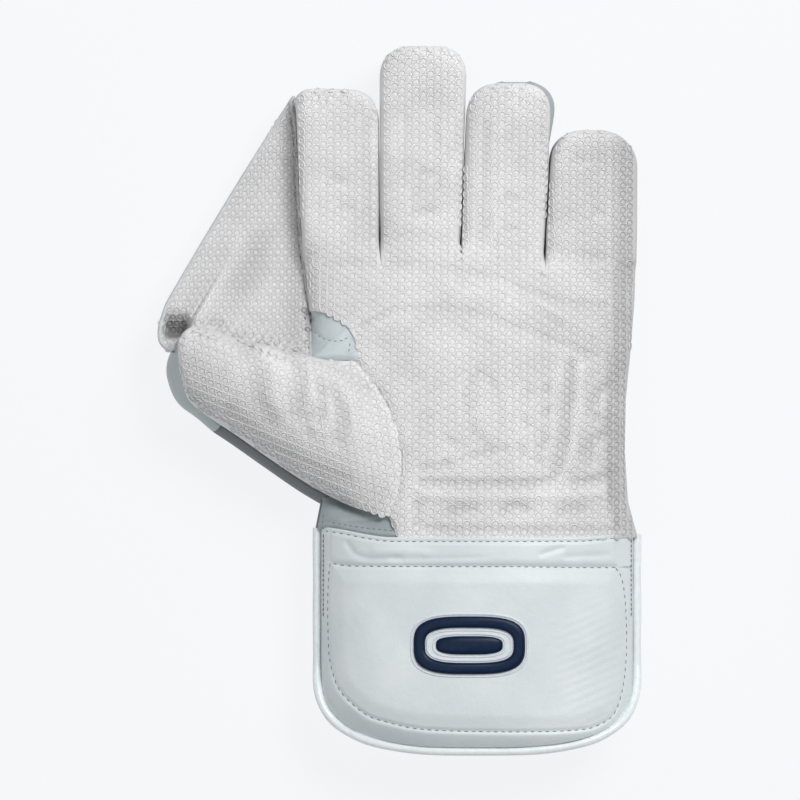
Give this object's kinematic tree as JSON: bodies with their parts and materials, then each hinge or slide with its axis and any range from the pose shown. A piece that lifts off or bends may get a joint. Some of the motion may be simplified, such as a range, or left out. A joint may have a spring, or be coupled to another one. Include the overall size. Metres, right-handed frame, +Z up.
{
  "type": "wicketkeeping glove",
  "caption": "Left-hand wicketkeeping glove with a pimpled rubber palm, finger fronts, thumb and web, padded leather back and a rounded gauntlet cuff.",
  "frame": {"origin": "on the resting plane, under the middle of the palm, on the long axis of the hand", "axes": "+Y along the hand to the fingertips, +Z up out of the palm, and the thumb lies on the -X side"},
  "size_m": [0.2184, 0.3219, 0.061],
  "materials": {
    "facing_rubber": "matt light grey pimpled rubber",
    "back_leather": "smooth pale grey-blue leather",
    "cuff_leather": "smooth pale grey-blue leather",
    "patch_leather": "soft grey-blue leather",
    "cap_leather": "soft grey-blue leather",
    "binding_cloth": "thin matt tape",
    "piping": "pale satin roll",
    "badge_rubber": "navy satin raised rubber"
  },
  "bodies": {
    "root": {"palm_facing": "facing_rubber", "hand_back": "back_leather", "thumb_facing": "facing_rubber", "thumb_back": "back_leather", "thumb_cap": "cap_leather", "web_panel": "facing_rubber", "web_binding": "binding_cloth", "crotch_patch": "patch_leather", "heel_band": "back_leather", "cuff_palm_flap": "cuff_leather", "cuff_back_flap": "cuff_leather", "cuff_palm_piping": "piping", "cuff_back_piping": "piping", "badge_band": "badge_rubber", "badge_bar": "badge_rubber"}
  },
  "joints": []
}
